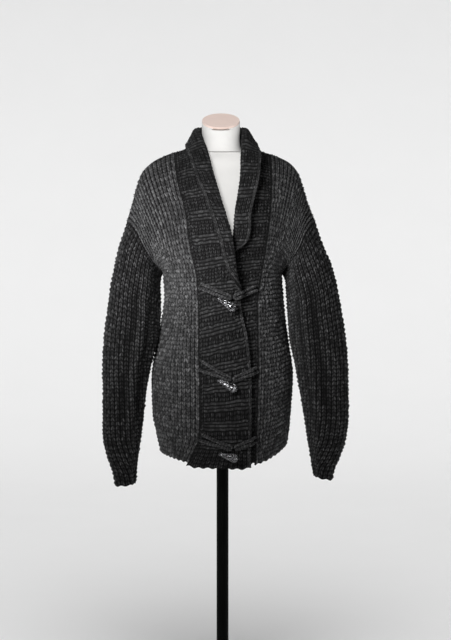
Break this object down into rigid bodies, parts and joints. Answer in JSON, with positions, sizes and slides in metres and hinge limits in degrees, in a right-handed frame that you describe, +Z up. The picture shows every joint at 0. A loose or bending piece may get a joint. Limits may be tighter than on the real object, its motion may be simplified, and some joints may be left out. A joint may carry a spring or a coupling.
{
  "type": "shawl collar cardigan on a dress form",
  "caption": "Heavy knitted cardigan with a shawl collar, overlapping welted bands and toggle closures, worn by a limbless dress form on a round-based stand.",
  "frame": {"origin": "centre of the stand base's underside, on the floor", "axes": "+Z up along the pole, front of the cardigan towards -Y, the wearer's right at -X"},
  "size_m": [0.6108, 0.3385, 1.5027],
  "materials": {
    "charcoal_wool": "bulky two-ply charcoal wool knit, soft and matte",
    "toggle_crystal": "dark silver metal set all over with small clear crystals",
    "form_cover": "smooth off-white jersey cover",
    "form_cap": "pinkish beige, matte",
    "stand_metal": "satin black"
  },
  "bodies": {
    "root": {"back": "charcoal_wool", "band_left": "charcoal_wool", "band_right": "charcoal_wool", "cord_left_1": "charcoal_wool", "cord_left_2": "charcoal_wool", "cord_left_3": "charcoal_wool", "cord_right_1": "charcoal_wool", "cord_right_2": "charcoal_wool", "cord_right_3": "charcoal_wool", "form_neck": "form_cover", "form_neck_cap": "form_cap", "form_torso": "form_cover", "front_left": "charcoal_wool", "front_right": "charcoal_wool", "sleeve_left": "charcoal_wool", "sleeve_right": "charcoal_wool", "stand_base": "stand_metal", "stand_pole": "stand_metal", "toggle_1": "toggle_crystal", "toggle_2": "toggle_crystal", "toggle_3": "toggle_crystal"}
  },
  "joints": []
}
